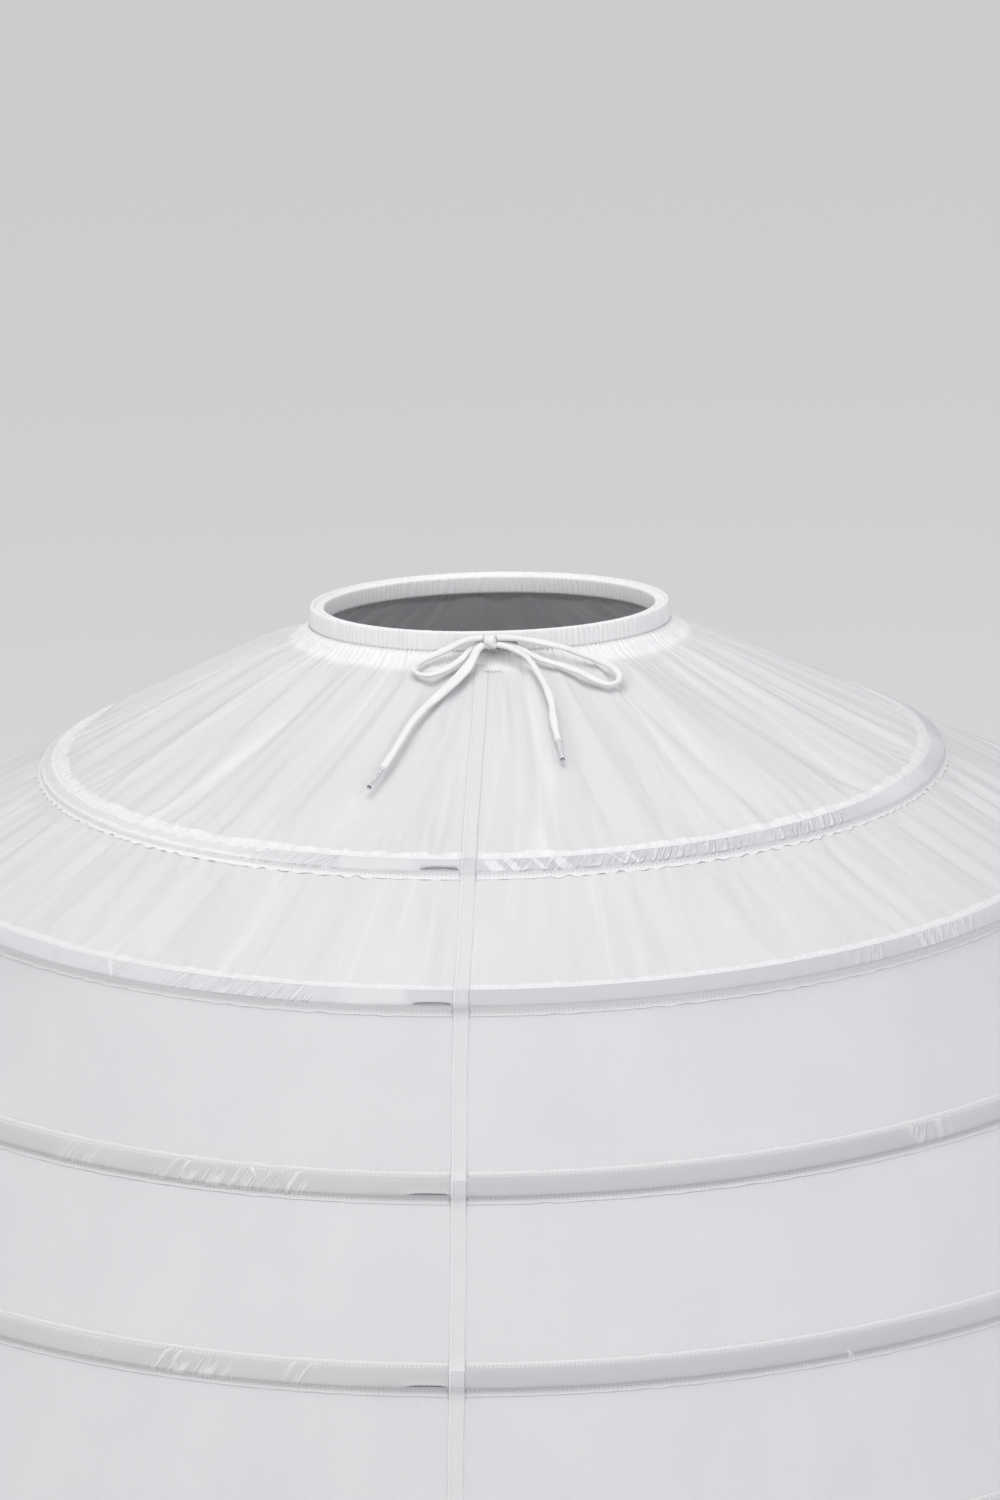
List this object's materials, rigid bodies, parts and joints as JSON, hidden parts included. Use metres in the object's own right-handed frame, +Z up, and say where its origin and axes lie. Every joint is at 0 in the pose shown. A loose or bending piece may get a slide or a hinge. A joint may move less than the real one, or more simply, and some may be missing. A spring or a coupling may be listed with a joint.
{
  "type": "crinoline cage petticoat",
  "caption": "White hoop petticoat: gathered drawstring waistband and yoke over tiers of thin cloth held out by flat sprung hoops in sewn channels.",
  "frame": {"origin": "centre of the waist opening, at the top edge of the waistband", "axes": "+Z up along the wearer's body; -Y towards the laced side with the centre seam; +X to the right when looking at that side"},
  "size_m": [1.385, 1.385, 0.813],
  "materials": {
    "skirt_cloth": "thin, closely woven white lining cloth with a soft, slightly silky face",
    "channel_tape": "sheer white tape, the dark of the hollow channel showing through",
    "seam_cloth": "folded white cloth, several layers",
    "elastic": "ribbed woven elastic",
    "thread": "close stitching",
    "cord": "soft white tubular braid",
    "lace_tip": "clear rolled film, greyish",
    "hoop_steel": "flat spring steel with a white plastic coating",
    "sleeve_plastic": "translucent shrunk-on plastic tube"
  },
  "bodies": {
    "root": {"waistband": "skirt_cloth", "waist_elastic": "elastic", "buttonhole_stitching": "thread", "drawstring_in_band": "cord", "bow_knot": "cord", "left_loop": "cord", "right_loop": "cord", "left_tail": "cord", "right_tail": "cord", "left_aglet": "lace_tip", "right_aglet": "lace_tip", "yoke": "skirt_cloth", "tier_2": "skirt_cloth", "tier_3": "skirt_cloth", "tier_4": "skirt_cloth", "tier_5": "skirt_cloth", "tier_6": "skirt_cloth", "tier_7": "skirt_cloth", "tier_8": "skirt_cloth", "hem_band": "skirt_cloth", "channel_1": "channel_tape", "channel_2": "channel_tape", "channel_3": "channel_tape", "channel_4": "channel_tape", "channel_5": "channel_tape", "channel_6": "channel_tape", "channel_7": "channel_tape", "channel_8": "channel_tape", "hoop_1": "hoop_steel", "hoop_2": "hoop_steel", "hoop_3": "hoop_steel", "hoop_4": "hoop_steel", "hoop_5": "hoop_steel", "hoop_6": "hoop_steel", "hoop_7": "hoop_steel", "hoop_8": "hoop_steel", "sleeve_1": "sleeve_plastic", "sleeve_2": "sleeve_plastic", "sleeve_3": "sleeve_plastic", "sleeve_4": "sleeve_plastic", "sleeve_5": "sleeve_plastic", "sleeve_6": "sleeve_plastic", "sleeve_7": "sleeve_plastic", "sleeve_8": "sleeve_plastic", "centre_seam": "seam_cloth"}
  },
  "joints": []
}
